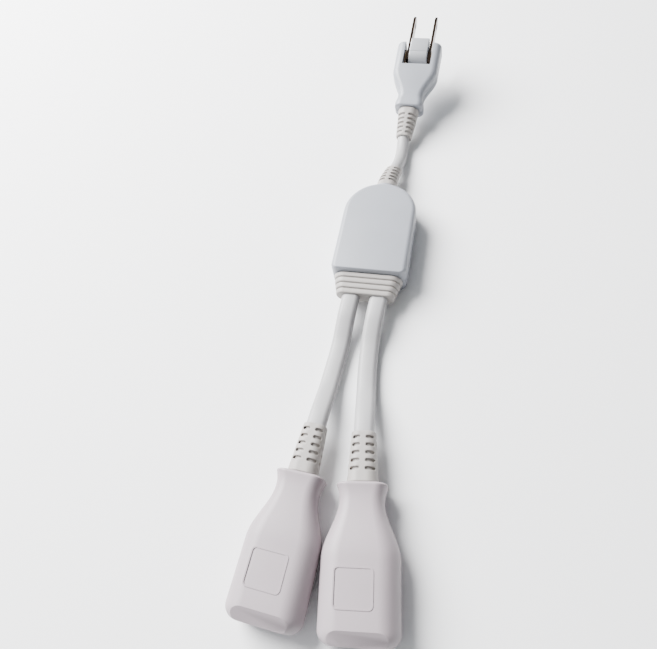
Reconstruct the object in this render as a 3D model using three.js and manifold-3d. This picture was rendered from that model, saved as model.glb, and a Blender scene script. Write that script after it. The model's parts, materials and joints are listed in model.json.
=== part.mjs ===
import * as THREE from 'three';
import { mergeVertices } from 'three/addons/utils/BufferGeometryUtils.js';
import Module from 'manifold-3d';

// Power cord splitter: a swing-blade plug, a short inlet cord, a moulded splitter body and two
// outlet cords that end in two-slot sockets. Lengths are in millimetres and +Z is up. The origin
// is the middle of the splitter body's flat underside, and +Y points from there to the plug.

const wasm = await Module();
wasm.setup();

// Fits shared by all housings
const gap = 0.3; // clearance between neighbouring pieces
const seam = 0.3; // slit between the two halves of a housing
const wall = 2; // housing wall
const endWall = 2.2; // housing wall that a boot's groove grips
const runningGap = 0.12; // radial clearance of the rotor's trunnions

// Cords and cores
const inletCordDiameter = 6.8;
const outletCordWidth = 8.8;
const outletCordThickness = 5.4;
const outletCordSpacing = 13.6;
const coreDiameter = 2.9;
const corePitch = 3.4; // between the two cores of one cord

// Splitter body
const splitterWidth = 37.4;
const splitterStraight = 38; // parallel sides, up to where the arched end starts
const splitterHeight = 16;
const splitterEdge = 2.6; // rounding of the top and bottom edges
const splitterCorner = 3.4; // plan corners at the outlet end
const splitterOutletY = -28; // the outlet end
const collarLength = 1.2; // short collar round the inlet boot, beyond the arch
const collarHalfWidth = 6.4;
const collarHalfHeight = 6.2;
const spliceDiameter = 6.4;
const spliceLength = 12;
const spliceOffset = 5.6;
const spliceY = 4;

// Boots: slotted strain reliefs that taper along their cord
const bootSlots = 5;
const slotWidth = 1.6;
const slotSpine = 1.6; // solid spine between the two slot columns
const slotRim = 1.1; // wall left outside a slot
const anchorLength = 2.4; // flange that holds a boot inside its housing
const anchorRim = 1.2; // how far that flange overlaps the opening
const inletBootLength = 16.2;
const inletBootBendX = 2.3; // how far the cord draws the inlet boot's tip aside
const inletBootBendZ = -1.5; // and down
const plugBootLength = 17.6;
const socketBootLength = 21;

// Ribbed outlet boot, round both outlet cords
const ribCount = 4;
const ribPitch = 3.15;
const ribLength = 2.25;
const ribRounding = 0.6;
const grooveDepth = 1.3;
const ribRootHalfWidth = 17.3;
const ribTipHalfWidth = 13.3;
const ribRootHalfHeight = 7;
const ribTipHalfHeight = 5.8;
const ribSectionCorner = 3.6;

// Sockets
const socketLength = 57.3;
const socketMouthWidth = 30.6;
const socketMouthHeight = 17.4;
const socketNeckWidth = 18;
const socketNeckHeight = 13.9;
const socketNeckY = 7; // distances behind the flange's face
const socketBellY = 28;
const socketFlangeWidth = 19.9;
const socketFlangeHeight = 15.2;
const socketFlangeLength = 3.2;
const socketCorner = 5.6; // section corners at the mouth
const socketMouthRounding = 5; // plan corners of the mouth
const socketMouthEdge = 1.6;
const socketFacetLength = 5; // sloping facet above and below the mating face
const socketFacetAngle = 34;
const socketFaceWall = 3;
const contactSpacing = 12.7;
const blindSlotHeight = 6.9;
const neutralSlotHeight = 8.1;
const bladeSlotWidth = 1.9;
const contactLength = 20;
const contactHeight = 6.4;
const contactHalfWidth = 2.1;
const contactLeaf = 0.5;
const contactTailLength = 6;

// Plug
const plugWidth = 25.8;
const plugHeight = 14;
const plugLength = 40.9; // from the fork's tips to the heel
const plugForkSetback = 2.5; // how far the rotor's face stands proud of the fork
const plugFullLength = 18; // fork and shoulders of full width
const plugNeckWidth = 14.8;
const plugNeckHeight = 12.4;
const plugNeckLength = 34;
const plugHeelWidth = 16.4;
const plugHeelHeight = 13.2;
const plugHeelLength = 3;
const plugCorner = 3.8;
const plugRounding = 1.6;
const forkRecessWidth = 18.2;
const rotorRadius = 6.6;
const rotorReach = 8.8; // from the pivot to the rotor's face
const rotorCorner = 1.2;
const trunnionRadius = 2.2;
const trunnionEnd = 11.1; // distance from the plug's middle
const keyRadius = 1.2;
const keyReach = 5.4; // from the pivot to the key that turns the blade
const bladeSpacing = 12.7;
const bladeThickness = 1.5;
const bladeWidth = 6.35;
const bladeLength = 17;
const bladeTipChamfer = 1.3;
const bladeHoleRadius = 1.6;
const bladeHoleReach = 11.9; // from the rotor's face
const bladeRootRadius = 4.2;
const brushThickness = 0.5;
const brushRootRadius = 3.9;
const brushHalfHeight = 2.1;
const brushTail = 17.5; // from the pivot to the wire

// How the pieces lie on the table
const leftSocketPose = { x: -11.3, y: -128.1, turn: -3.2 };
const rightSocketPose = { x: 14.2, y: -128, turn: 8.1 };
const plugPose = { x: 7.3, y: 130.1, z: 24.9, turn: -3.3, pitch: 18.5 };

// Cord routes, chosen by hand
const inletRoute = [
  [0, 21.5, 8], [0, 26, 8], [0, 31, 8], [0.3, 36, 7.8], [1.1, 41, 7.28], [2.2, 45.8, 6.56],
  [3.15, 50, 5.65], [3.8, 54, 4.88], [4.1, 58, 4.25], [4.15, 62.3, 3.87], [4.1, 66, 4.05],
  [4.03, 69.3, 4.65], [3.97, 72.35, 5.54], [4.3, 78.03, 7.45], [4.57, 82.77, 9.03], [4.9, 88.45, 10.94],
  [5.17, 93.19, 12.52],
];
const leftRoute = [
  [-6.8, -22, 8], [-6.8, -30, 8], [-6.8, -38, 8], [-6.9, -42, 8], [-7.2, -48.5, 7.38], [-7.5, -55, 5.5],
  [-7.8, -61.8, 3.63], [-8.2, -68.5, 3], [-8.5, -73, 3], [-8.85, -78, 3], [-9.2, -85.25, 3.71],
  [-9.45, -92.5, 5.85], [-9.71, -99.75, 7.99], [-9.98, -104.5, 8.63], [-10.12, -107, 8.7],
  [-10.34, -111, 8.7], [-10.62, -116, 8.7], [-10.96, -122, 8.7], [-11.52, -132, 8.7],
];
const rightRoute = [
  [6.8, -22, 8], [6.8, -30, 8], [6.8, -38, 8], [6.7, -42, 8], [6.4, -48.5, 7.38], [6.1, -55, 5.5],
  [6.05, -61.8, 3.63], [6.3, -68.5, 3], [6.65, -73, 3], [7.15, -78, 3], [8.1, -85.25, 3.71],
  [9.15, -92.5, 5.85], [10.18, -99.75, 7.99], [10.86, -104.5, 8.63], [11.21, -107, 8.7],
  [11.78, -111, 8.7], [12.49, -116, 8.7], [13.35, -122, 8.7], [14.77, -132, 8.7],
];
const inletSteps = 18;
const outletSteps = 20;

// Roundness of curves
const sectionSteps = 3; // facets in a section corner
const arcSteps = 6; // half the facets of an arc
const barSides = 16;
const slotSteps = 1;
const coreSteps = 9;

const finishes = {
  shell: { color: 0xc9cacd, roughness: 0.42, metalness: 0 },
  boot: { color: 0xd9d7d2, roughness: 0.55, metalness: 0 },
  cord: { color: 0xd8d6d3, roughness: 0.5, metalness: 0 },
  rotor: { color: 0xcfd0d2, roughness: 0.3, metalness: 0 },
  blade: { color: 0xb9a98a, roughness: 0.28, metalness: 1 },
  spring: { color: 0xb88a4a, roughness: 0.35, metalness: 1 },
  splice: { color: 0xc9c4b8, roughness: 0.5, metalness: 0 },
  blackCore: { color: 0x2b2b2d, roughness: 0.5, metalness: 0 },
  whiteCore: { color: 0xe6e4df, roughness: 0.5, metalness: 0 },
};

const radians = THREE.MathUtils.degToRad;

// Solids, joins and cuts
function toSolid(geometry) {
  const bare = geometry.clone();
  bare.deleteAttribute('normal');
  bare.deleteAttribute('uv');
  const merged = mergeVertices(bare, 1e-4);
  const corners = [...merged.index.array];
  const triVerts = [];
  for (let first = 0; first < corners.length; first += 3) {
    const [a, b, c] = corners.slice(first, first + 3);
    if (a !== b && b !== c && c !== a) triVerts.push(a, b, c);
  }
  return new wasm.Manifold(new wasm.Mesh({
    numProp: 3,
    vertProperties: new Float32Array(merged.attributes.position.array),
    triVerts: new Uint32Array(triVerts),
  }));
}

function toGeometry(solid) {
  const mesh = solid.getMesh();
  const geometry = new THREE.BufferGeometry();
  geometry.setAttribute('position', new THREE.BufferAttribute(new Float32Array(mesh.vertProperties), 3));
  geometry.setIndex(new THREE.BufferAttribute(new Uint32Array(mesh.triVerts), 1));
  geometry.computeVertexNormals();
  return geometry;
}

const join = (first, ...others) => others.reduce((sum, piece) => sum.add(piece), first);
const cut = (first, ...others) => others.reduce((rest, piece) => rest.subtract(piece), first);

function block(low, high) {
  const size = high.map((value, axis) => value - low[axis]);
  const middle = high.map((value, axis) => (value + low[axis]) / 2);
  return toSolid(new THREE.BoxGeometry(...size).translate(...middle));
}

// A closed ring of points: a rounded rectangle of half sizes w and h across X and Z
function sectionRing({ y, w, h, r, x = 0, z = 0 }) {
  const radius = Math.min(r, w - 0.05, h - 0.05);
  const ring = [];
  for (let corner = 0; corner < 4; corner += 1) {
    const sideX = corner === 0 || corner === 3 ? 1 : -1;
    const sideZ = corner < 2 ? 1 : -1;
    for (let step = 0; step <= sectionSteps; step += 1) {
      const angle = (corner + step / sectionSteps) * Math.PI / 2;
      ring.push([
        x + sideX * (w - radius) + radius * Math.cos(angle),
        y,
        z + sideZ * (h - radius) + radius * Math.sin(angle),
      ]);
    }
  }
  return ring;
}

// A solid skinned over sections that follow one another along +Y
function loft(stations) {
  const rings = stations.map(sectionRing);
  const count = rings[0].length;
  const positions = rings.flat(2);
  const index = [];
  for (let ring = 0; ring < rings.length - 1; ring += 1) {
    for (let point = 0; point < count; point += 1) {
      const next = (point + 1) % count;
      const a = ring * count + point;
      const b = ring * count + next;
      index.push(a, a + count, b + count, a, b + count, b);
    }
  }
  for (const [ring, flip] of [[0, false], [rings.length - 1, true]]) {
    const { x = 0, y, z = 0 } = stations[ring];
    const hub = positions.length / 3;
    positions.push(x, y, z);
    for (let point = 0; point < count; point += 1) {
      const a = ring * count + point;
      const b = ring * count + (point + 1) % count;
      index.push(...(flip ? [hub, b, a] : [hub, a, b]));
    }
  }
  const geometry = new THREE.BufferGeometry();
  geometry.setAttribute('position', new THREE.Float32BufferAttribute(positions, 3));
  geometry.setIndex(index);
  return toSolid(geometry);
}

// A flat plate: an outline in Y and Z, extruded along X round the place x
function plate(shape, thickness, x, bevel = 0) {
  const geometry = new THREE.ExtrudeGeometry(shape, {
    depth: thickness - 2 * bevel,
    bevelEnabled: bevel > 0,
    bevelThickness: bevel,
    bevelSize: bevel,
    bevelOffset: -bevel,
    bevelSegments: 1,
    curveSegments: arcSteps,
  });
  geometry.translate(0, 0, bevel - thickness / 2);
  const turned = new THREE.Matrix4().makeBasis(
    new THREE.Vector3(0, 1, 0),
    new THREE.Vector3(0, 0, 1),
    new THREE.Vector3(1, 0, 0),
  );
  return toSolid(geometry.applyMatrix4(turned).translate(x, 0, 0));
}

// A round bar along X
function bar(radius, from, to, y) {
  const geometry = new THREE.CylinderGeometry(radius, radius, Math.abs(to - from), barSides);
  return toSolid(geometry.rotateZ(Math.PI / 2).translate((from + to) / 2, y, 0));
}

function circleHole(x, y, radius) {
  const hole = new THREE.Path();
  hole.absarc(x, y, radius, 0, 2 * Math.PI, true);
  return hole;
}

// Cords: a section swept along a route
function sweep(section, route, steps) {
  const path = new THREE.CatmullRomCurve3(route.map((point) => new THREE.Vector3(...point)));
  return new THREE.ExtrudeGeometry(section, { steps, bevelEnabled: false, curveSegments: 1, extrudePath: path });
}

function roundSection(diameter, sides) {
  const points = [];
  for (let side = 0; side < sides; side += 1) {
    const angle = (side + 0.5) * 2 * Math.PI / sides;
    points.push(new THREE.Vector2(Math.cos(angle), Math.sin(angle)).multiplyScalar(diameter / 2));
  }
  return new THREE.Shape(points);
}

// The flat cord's section: its width runs sideways along the sweep
function flatSection(width, thickness) {
  const radius = thickness / 2;
  const points = [];
  for (const side of [1, -1]) {
    for (let step = 0; step < 6; step += 1) {
      const angle = side * Math.PI / 2 + (step / 5 - 0.5) * Math.PI;
      points.push(new THREE.Vector2(
        radius * Math.cos(angle),
        side * (width / 2 - radius) + radius * Math.sin(angle),
      ));
    }
  }
  return new THREE.Shape(points);
}

const core = (route) => sweep(roundSection(coreDiameter, 8), route, coreSteps);

// A mesh with its own finish
function part(name, shape, finish) {
  const geometry = shape instanceof THREE.BufferGeometry ? shape : toGeometry(shape);
  const mesh = new THREE.Mesh(geometry, new THREE.MeshStandardMaterial(finishes[finish]));
  mesh.name = name;
  return mesh;
}

// The upper (side 1) or lower (side -1) half of a housing, split at z = 0
function half(housing, side) {
  const reach = 200;
  const low = side > 0 ? seam / 2 : -reach;
  const high = side > 0 ? reach : -seam / 2;
  return housing.intersect(block([-reach, -reach, low], [reach, reach, high]));
}

function addHalves(group, name, housing) {
  group.add(part(`${name}_shell_top`, half(housing, 1), 'shell'));
  group.add(part(`${name}_shell_bottom`, half(housing, -1), 'shell'));
}

// Slotted boot
// It starts at y = 0 on its housing's end wall and runs out along +Y. Inside, a groove grips the wall.
const bootSpecs = {
  inlet: {
    length: inletBootLength, rootW: 5.5, rootH: 5.3, tipW: 4.35, tipH: 4.3,
    neckW: 4.7, neckH: 4.6, boreW: inletCordDiameter / 2, boreH: inletCordDiameter / 2,
    bendX: inletBootBendX, bendZ: inletBootBendZ,
  },
  plug: {
    length: plugBootLength, rootW: 5.9, rootH: 5.4, tipW: 4.45, tipH: 4.3,
    neckW: 4.7, neckH: 4.6, boreW: inletCordDiameter / 2, boreH: inletCordDiameter / 2, bendX: 0, bendZ: 0,
  },
  socket: {
    length: socketBootLength, rootW: 6.5, rootH: 5.6, tipW: 5.2, tipH: 4.1,
    neckW: 5.6, neckH: 4.2, boreW: outletCordWidth / 2, boreH: outletCordThickness / 2, bendX: 0, bendZ: 0,
  },
};

function bootCentre(spec, y) {
  const share = Math.max(0, y) / spec.length;
  return { x: spec.bendX * share ** 2, z: spec.bendZ * share ** 2 };
}

function bootSize(spec, y) {
  const share = Math.max(0, y) / spec.length;
  return {
    w: THREE.MathUtils.lerp(spec.rootW, spec.tipW, share),
    h: THREE.MathUtils.lerp(spec.rootH, spec.tipH, share),
  };
}

function slotShape(from, to, y) {
  const radius = slotWidth / 2;
  const shape = new THREE.Shape();
  shape.absarc(to - radius, y, radius, -Math.PI / 2, Math.PI / 2);
  shape.absarc(from + radius, y, radius, Math.PI / 2, Math.PI * 1.5);
  return shape;
}

function makeBoot(spec) {
  const grip = endWall + gap;
  const anchor = grip + anchorLength;
  const flange = { w: spec.neckW + anchorRim, h: spec.neckH + anchorRim, r: spec.neckH };
  const neck = { w: spec.neckW, h: spec.neckH, r: spec.neckH };
  const root = bootSize(spec, 0);
  const stations = [
    { y: -anchor, ...flange }, { y: -grip, ...flange }, { y: -grip, ...neck }, { y: gap, ...neck },
    { y: gap, w: root.w - 0.4, h: root.h - 0.4, r: root.h * 0.8 },
  ];
  const bodySteps = spec.bendX === 0 ? 1 : 5;
  for (let step = 0; step <= bodySteps; step += 1) {
    const y = gap + 0.5 + (spec.length - gap - 1.2) * step / bodySteps;
    const { w, h } = bootSize(spec, y);
    stations.push({ y, w, h, r: h * 0.8, ...bootCentre(spec, y) });
  }
  const tip = bootSize(spec, spec.length);
  stations.push({
    y: spec.length, w: tip.w - 0.35, h: tip.h - 0.35, r: tip.h * 0.8, ...bootCentre(spec, spec.length),
  });
  const bore = { w: spec.boreW + gap, h: spec.boreH + gap, r: spec.boreH + gap };
  const boreStations = [{ y: -anchor - 1, ...bore }];
  for (let step = 0; step <= bodySteps; step += 1) {
    const y = spec.length * step / bodySteps;
    boreStations.push({ y, ...bore, ...bootCentre(spec, y) });
  }
  boreStations.push({ y: spec.length + 1, ...bore, ...bootCentre(spec, spec.length + 1) });
  const cutters = [];
  const firstSlot = spec.length * 0.26;
  const slotPitch = (spec.length * 0.92 - firstSlot) / bootSlots;
  for (let row = 0; row < bootSlots; row += 1) {
    const y = firstSlot + slotPitch * (row + 0.5);
    const { w, h } = bootSize(spec, y);
    const centre = bootCentre(spec, y);
    for (const side of [1, -1]) {
      const ends = [side * slotSpine / 2, side * (w - slotRim)].sort((a, b) => a - b);
      const shape = slotShape(centre.x + ends[0], centre.x + ends[1], y);
      const geometry = new THREE.ExtrudeGeometry(shape, { depth: 4 * h, bevelEnabled: false, curveSegments: slotSteps });
      cutters.push(toSolid(geometry.translate(0, 0, centre.z - 2 * h)));
    }
  }
  return cut(loft(stations), loft(boreStations), ...cutters);
}

// The opening in an end wall that a boot's groove sits in, cut along Y
function bootOpening(spec, from, to) {
  const opening = { w: spec.neckW + gap, h: spec.neckH + gap, r: spec.neckH + gap };
  return loft([{ y: from, ...opening }, { y: to, ...opening }]);
}

// The room behind that wall for the boot's flange
function anchorRoom(spec, from, to) {
  const room = { w: spec.neckW + anchorRim + gap, h: spec.neckH + anchorRim + gap, r: spec.neckH };
  return loft([{ y: from, ...room }, { y: to, ...room }]);
}

// Splitter body
const splitterArchRadius = splitterWidth / 2;
const splitterArchY = splitterOutletY + splitterStraight;
const splitterApexY = splitterArchY + splitterArchRadius;
const splitterCollarY = splitterApexY + collarLength;

function splitterOutline(inset) {
  const side = splitterWidth / 2 - inset;
  const end = splitterOutletY + inset;
  const corner = Math.max(0.4, splitterCorner - inset);
  const shape = new THREE.Shape();
  shape.moveTo(-side + corner, end);
  shape.lineTo(side - corner, end);
  shape.absarc(side - corner, end + corner, corner, -Math.PI / 2, 0);
  shape.lineTo(side, splitterArchY);
  shape.absarc(0, splitterArchY, splitterArchRadius - inset, 0, Math.PI);
  shape.lineTo(-side, end + corner);
  shape.absarc(-side + corner, end + corner, corner, Math.PI, Math.PI * 1.5);
  return shape;
}

function makeSplitterHousing() {
  const outer = toSolid(new THREE.ExtrudeGeometry(splitterOutline(0), {
    depth: splitterHeight - 2 * splitterEdge,
    bevelThickness: splitterEdge,
    bevelSize: splitterEdge,
    bevelOffset: -splitterEdge,
    bevelSegments: 3,
    curveSegments: arcSteps,
  }).translate(0, 0, splitterEdge - splitterHeight / 2));
  const collar = loft([
    { y: splitterApexY - 2 * wall, w: collarHalfWidth + 2, h: collarHalfHeight, r: collarHalfHeight },
    { y: splitterApexY - 0.8, w: collarHalfWidth + 0.9, h: collarHalfHeight, r: collarHalfHeight },
    { y: splitterCollarY - 0.5, w: collarHalfWidth, h: collarHalfHeight, r: collarHalfHeight },
    { y: splitterCollarY, w: collarHalfWidth - 0.5, h: collarHalfHeight - 0.5, r: collarHalfHeight },
  ]);
  const cavity = toSolid(new THREE.ExtrudeGeometry(splitterOutline(wall), {
    depth: splitterHeight - 2 * wall,
    bevelEnabled: false,
    curveSegments: arcSteps,
  }).translate(0, 0, wall - splitterHeight / 2));
  const spec = bootSpecs.inlet;
  const inletChannel = anchorRoom(spec, splitterApexY - 3 * wall, splitterCollarY - endWall);
  const inletOpening = bootOpening(spec, splitterCollarY - endWall - 1, splitterCollarY + 1);
  const outletOpening = loft([
    { y: splitterOutletY - 1, w: outletNeck.w + gap, h: outletNeck.h + gap, r: outletNeck.r + gap },
    { y: splitterOutletY + endWall + 1, w: outletNeck.w + gap, h: outletNeck.h + gap, r: outletNeck.r + gap },
  ]);
  return cut(join(outer, collar), cavity, inletChannel, inletOpening, outletOpening);
}

// Ribbed outlet boot: it runs out along +Y from the splitter's outlet end, turned round when placed
const outletNeck = { w: outletCordSpacing / 2 + outletCordWidth / 2 + 1.4, h: 4.4, r: 3 };

function makeOutletBoot() {
  const grip = wall + gap;
  const flange = { w: outletNeck.w + anchorRim, h: outletNeck.h + anchorRim, r: outletNeck.r };
  const stations = [
    { y: -grip - anchorLength, ...flange }, { y: -grip, ...flange },
    { y: -grip, ...outletNeck }, { y: gap, ...outletNeck },
  ];
  const length = ribCount * ribPitch;
  const place = (y, inset) => ({
    y,
    w: THREE.MathUtils.lerp(ribRootHalfWidth, ribTipHalfWidth, y / length) - inset,
    h: THREE.MathUtils.lerp(ribRootHalfHeight, ribTipHalfHeight, y / length) - inset,
    r: ribSectionCorner,
  });
  for (let rib = 0; rib < ribCount; rib += 1) {
    const start = rib * ribPitch + gap;
    const end = start + ribLength;
    stations.push(place(start, ribRounding), place(start + ribRounding, 0));
    stations.push(place(end - ribRounding, 0), place(end, ribRounding));
    if (rib < ribCount - 1) stations.push(place(end, grooveDepth), place(start + ribPitch, grooveDepth));
  }
  const bores = [1, -1].map((side) => {
    const bore = {
      x: side * outletCordSpacing / 2,
      w: outletCordWidth / 2 + gap,
      h: outletCordThickness / 2 + gap,
      r: outletCordThickness / 2 + gap,
    };
    return loft([{ y: -grip - anchorLength - 1, ...bore }, { y: length + 1, ...bore }]);
  });
  return cut(loft(stations), ...bores);
}

function makeSplitter() {
  const group = new THREE.Group();
  group.position.z = splitterHeight / 2;
  addHalves(group, 'splitter', makeSplitterHousing());
  const inletBoot = part('splitter_inlet_boot', makeBoot(bootSpecs.inlet), 'boot');
  inletBoot.position.y = splitterCollarY;
  const outletBoot = part('splitter_outlet_boot', makeOutletBoot(), 'boot');
  outletBoot.position.y = splitterOutletY;
  outletBoot.rotation.z = Math.PI;
  group.add(inletBoot, outletBoot);

  const spliceTop = spliceY + spliceLength / 2 + gap;
  const spliceBottom = spliceY - spliceLength / 2 - gap;
  const inletEnd = inletRoute[0][1] - gap;
  const outletEnd = leftRoute[0][1] + gap;
  for (const [side, name, finish] of [[-1, 'left', 'blackCore'], [1, 'right', 'whiteCore']]) {
    const barrel = new THREE.CylinderGeometry(spliceDiameter / 2, spliceDiameter / 2, spliceLength, barSides);
    const splice = part(`splice_${name}`, barrel, 'splice');
    splice.position.set(side * spliceOffset, spliceY, 0);
    const near = side * (spliceOffset + coreDiameter / 2 + gap / 2);
    const far = side * (spliceOffset - coreDiameter / 2 - gap / 2);
    const coreX = side * corePitch / 2;
    const nearCord = side * (outletCordSpacing + corePitch) / 2;
    const farCord = -side * (outletCordSpacing - corePitch) / 2;
    const lift = side * (coreDiameter + gap) / 2;
    group.add(
      splice,
      part(`splitter_wire_inlet_${name}`, core([
        [coreX, inletEnd, 0], [coreX * 1.1, inletEnd - 2, 0], [side * spliceOffset * 0.9, spliceTop + 3, 0],
        [side * spliceOffset, spliceTop, 0],
      ]), finish),
      part(`splitter_wire_near_${name}`, core([
        [nearCord, outletEnd, 0], [nearCord, outletEnd + 4, 0], [near, spliceBottom - 4, 0],
        [near, spliceBottom, 0],
      ]), finish),
      part(`splitter_wire_far_${name}`, core([
        [farCord, outletEnd, 0], [farCord, outletEnd + 2.2, 0], [farCord * 0.45, outletEnd + 7, lift],
        [far * 0.5, spliceBottom - 5, lift], [far, spliceBottom - 1.5, 0], [far, spliceBottom, 0],
      ]), finish),
    );
  }
  return group;
}

// Sockets
// Each lies along Y on its own axis: the flange's face is y = 0 and the mating face is y = -socketLength.
function socketSection(y) {
  const share = THREE.MathUtils.smoothstep(-y, socketNeckY, socketBellY);
  return {
    y,
    w: THREE.MathUtils.lerp(socketNeckWidth, socketMouthWidth, share) / 2,
    h: THREE.MathUtils.lerp(socketNeckHeight, socketMouthHeight, share) / 2,
    r: THREE.MathUtils.lerp(socketCorner * 0.8, socketCorner, share),
  };
}

function makeSocketHousing() {
  const stations = [];
  const mouthSteps = 4;
  for (let step = 0; step <= mouthSteps; step += 1) {
    const angle = step / mouthSteps * Math.PI / 2;
    const section = socketSection(-socketLength + socketMouthRounding * (1 - Math.cos(angle)));
    section.w -= socketMouthRounding * (1 - Math.sin(angle));
    section.h -= socketMouthEdge * (1 - Math.sin(angle));
    stations.push(section);
  }
  const bellSteps = 8;
  for (let step = 0; step <= bellSteps; step += 1) {
    stations.push(socketSection(-THREE.MathUtils.lerp(socketBellY + 4, socketNeckY - 1, step / bellSteps)));
  }
  const flange = { w: socketFlangeWidth / 2, h: socketFlangeHeight / 2, r: socketCorner * 0.8 };
  stations.push(
    { ...flange, y: -socketFlangeLength - 0.6, w: flange.w - 0.5, h: flange.h - 0.4 },
    { ...flange, y: -socketFlangeLength }, { ...flange, y: -0.6 },
    { ...flange, y: 0, w: flange.w - 0.6, h: flange.h - 0.6 },
  );
  const anchorEnd = endWall + anchorLength + 2 * gap;
  const pocketEnd = socketLength - socketFaceWall;
  const pocketStart = pocketEnd - contactLength - contactTailLength / 2;
  const rearSteps = 6;
  const wireRoom = [];
  for (let step = 0; step <= rearSteps; step += 1) {
    const section = socketSection(-THREE.MathUtils.lerp(pocketStart, anchorEnd - 1, step / rearSteps));
    section.w -= wall;
    section.h -= wall;
    wireRoom.push(section);
  }
  const cutters = [
    loft(wireRoom),
    anchorRoom(bootSpecs.socket, -anchorEnd, -endWall),
    bootOpening(bootSpecs.socket, -endWall - 1, 1),
  ];
  for (const [side, slotHeight] of [[-1, neutralSlotHeight], [1, blindSlotHeight]]) {
    const x = side * contactSpacing / 2;
    const reach = contactHalfWidth + gap;
    const rise = contactHeight / 2 + gap;
    cutters.push(block([x - reach, -pocketEnd, -rise], [x + reach, -pocketStart + 1, rise]));
    cutters.push(block(
      [x - bladeSlotWidth / 2, -socketLength - 1, -slotHeight / 2],
      [x + bladeSlotWidth / 2, -pocketEnd + 1, slotHeight / 2],
    ));
  }
  const facetDepth = 6;
  for (const side of [1, -1]) {
    const facet = new THREE.BoxGeometry(2 * socketMouthWidth, 4 * socketFacetLength, 2 * facetDepth);
    facet.translate(0, 0, facetDepth).rotateX(radians(socketFacetAngle));
    if (side < 0) facet.rotateY(Math.PI);
    facet.translate(0, -socketLength + socketFacetLength, side * socketMouthHeight / 2);
    cutters.push(toSolid(facet));
  }
  return cut(loft(stations), ...cutters);
}

// A contact: two leaves that lean together towards the mating face, a closed back and a tail
function makeContact() {
  const shape = new THREE.Shape();
  const outer = contactHalfWidth;
  const inner = outer - contactLeaf;
  const mouth = contactLeaf + 0.35;
  const pinch = 0.55;
  shape.moveTo(-outer, contactLength - contactTailLength);
  shape.lineTo(-outer, contactTailLength);
  shape.lineTo(-contactLeaf, contactTailLength);
  shape.lineTo(-contactLeaf, 0);
  shape.lineTo(contactLeaf, 0);
  shape.lineTo(contactLeaf, contactTailLength);
  shape.lineTo(outer, contactTailLength);
  shape.lineTo(outer, contactLength - contactTailLength);
  shape.lineTo(pinch + contactLeaf, contactLength - 2);
  shape.lineTo(outer, contactLength);
  shape.lineTo(inner, contactLength);
  shape.lineTo(pinch, contactLength - 2);
  shape.lineTo(inner, contactLength - contactTailLength);
  shape.lineTo(inner, contactTailLength + mouth);
  shape.lineTo(-inner, contactTailLength + mouth);
  shape.lineTo(-inner, contactLength - contactTailLength);
  shape.lineTo(-pinch, contactLength - 2);
  shape.lineTo(-inner, contactLength);
  shape.lineTo(-outer, contactLength);
  shape.lineTo(-pinch - contactLeaf, contactLength - 2);
  const geometry = new THREE.ExtrudeGeometry(shape, { depth: contactHeight, bevelEnabled: false });
  return toSolid(geometry.translate(0, 0, -contactHeight / 2).rotateZ(Math.PI));
}

function makeSocket(name, pose) {
  const group = new THREE.Group();
  group.position.set(pose.x, pose.y, socketMouthHeight / 2);
  group.rotation.z = radians(pose.turn);
  addHalves(group, `socket_${name}`, makeSocketHousing());
  group.add(part(`socket_${name}_boot`, makeBoot(bootSpecs.socket), 'boot'));
  const contactEnd = -(socketLength - socketFaceWall) + contactLength + gap;
  const sheathEnd = -4.6 - gap;
  for (const [side, lead, finish] of [[-1, 'neutral', 'whiteCore'], [1, 'live', 'blackCore']]) {
    const x = side * contactSpacing / 2;
    const contact = part(`socket_${name}_contact_${lead}`, makeContact(), 'spring');
    contact.position.set(x, contactEnd, 0);
    const coreX = side * corePitch / 2;
    group.add(contact, part(`socket_${name}_wire_${lead}`, core([
      [coreX, sheathEnd, 0], [coreX * 1.15, sheathEnd - 3, 0], [x * 0.8, contactEnd + 10, 0],
      [x, contactEnd + 4, 0], [x, contactEnd + gap, 0],
    ]), finish));
  }
  return group;
}

// Plug
// The rotor's face is y = 0, the heel is at the far end along -Y, and the rotor turns about X.
const pivotY = -rotorReach;
const heelY = -plugForkSetback - plugLength;
const recessY = pivotY - rotorRadius - gap;
const brushX = (bladeSpacing + bladeThickness + brushThickness) / 2 + gap;

function plugSection(y) {
  const share = THREE.MathUtils.smoothstep(-y - plugForkSetback, plugFullLength, plugNeckLength);
  return {
    y,
    w: THREE.MathUtils.lerp(plugWidth, plugNeckWidth, share) / 2,
    h: THREE.MathUtils.lerp(plugHeight, plugNeckHeight, share) / 2,
    r: plugCorner,
  };
}

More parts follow.
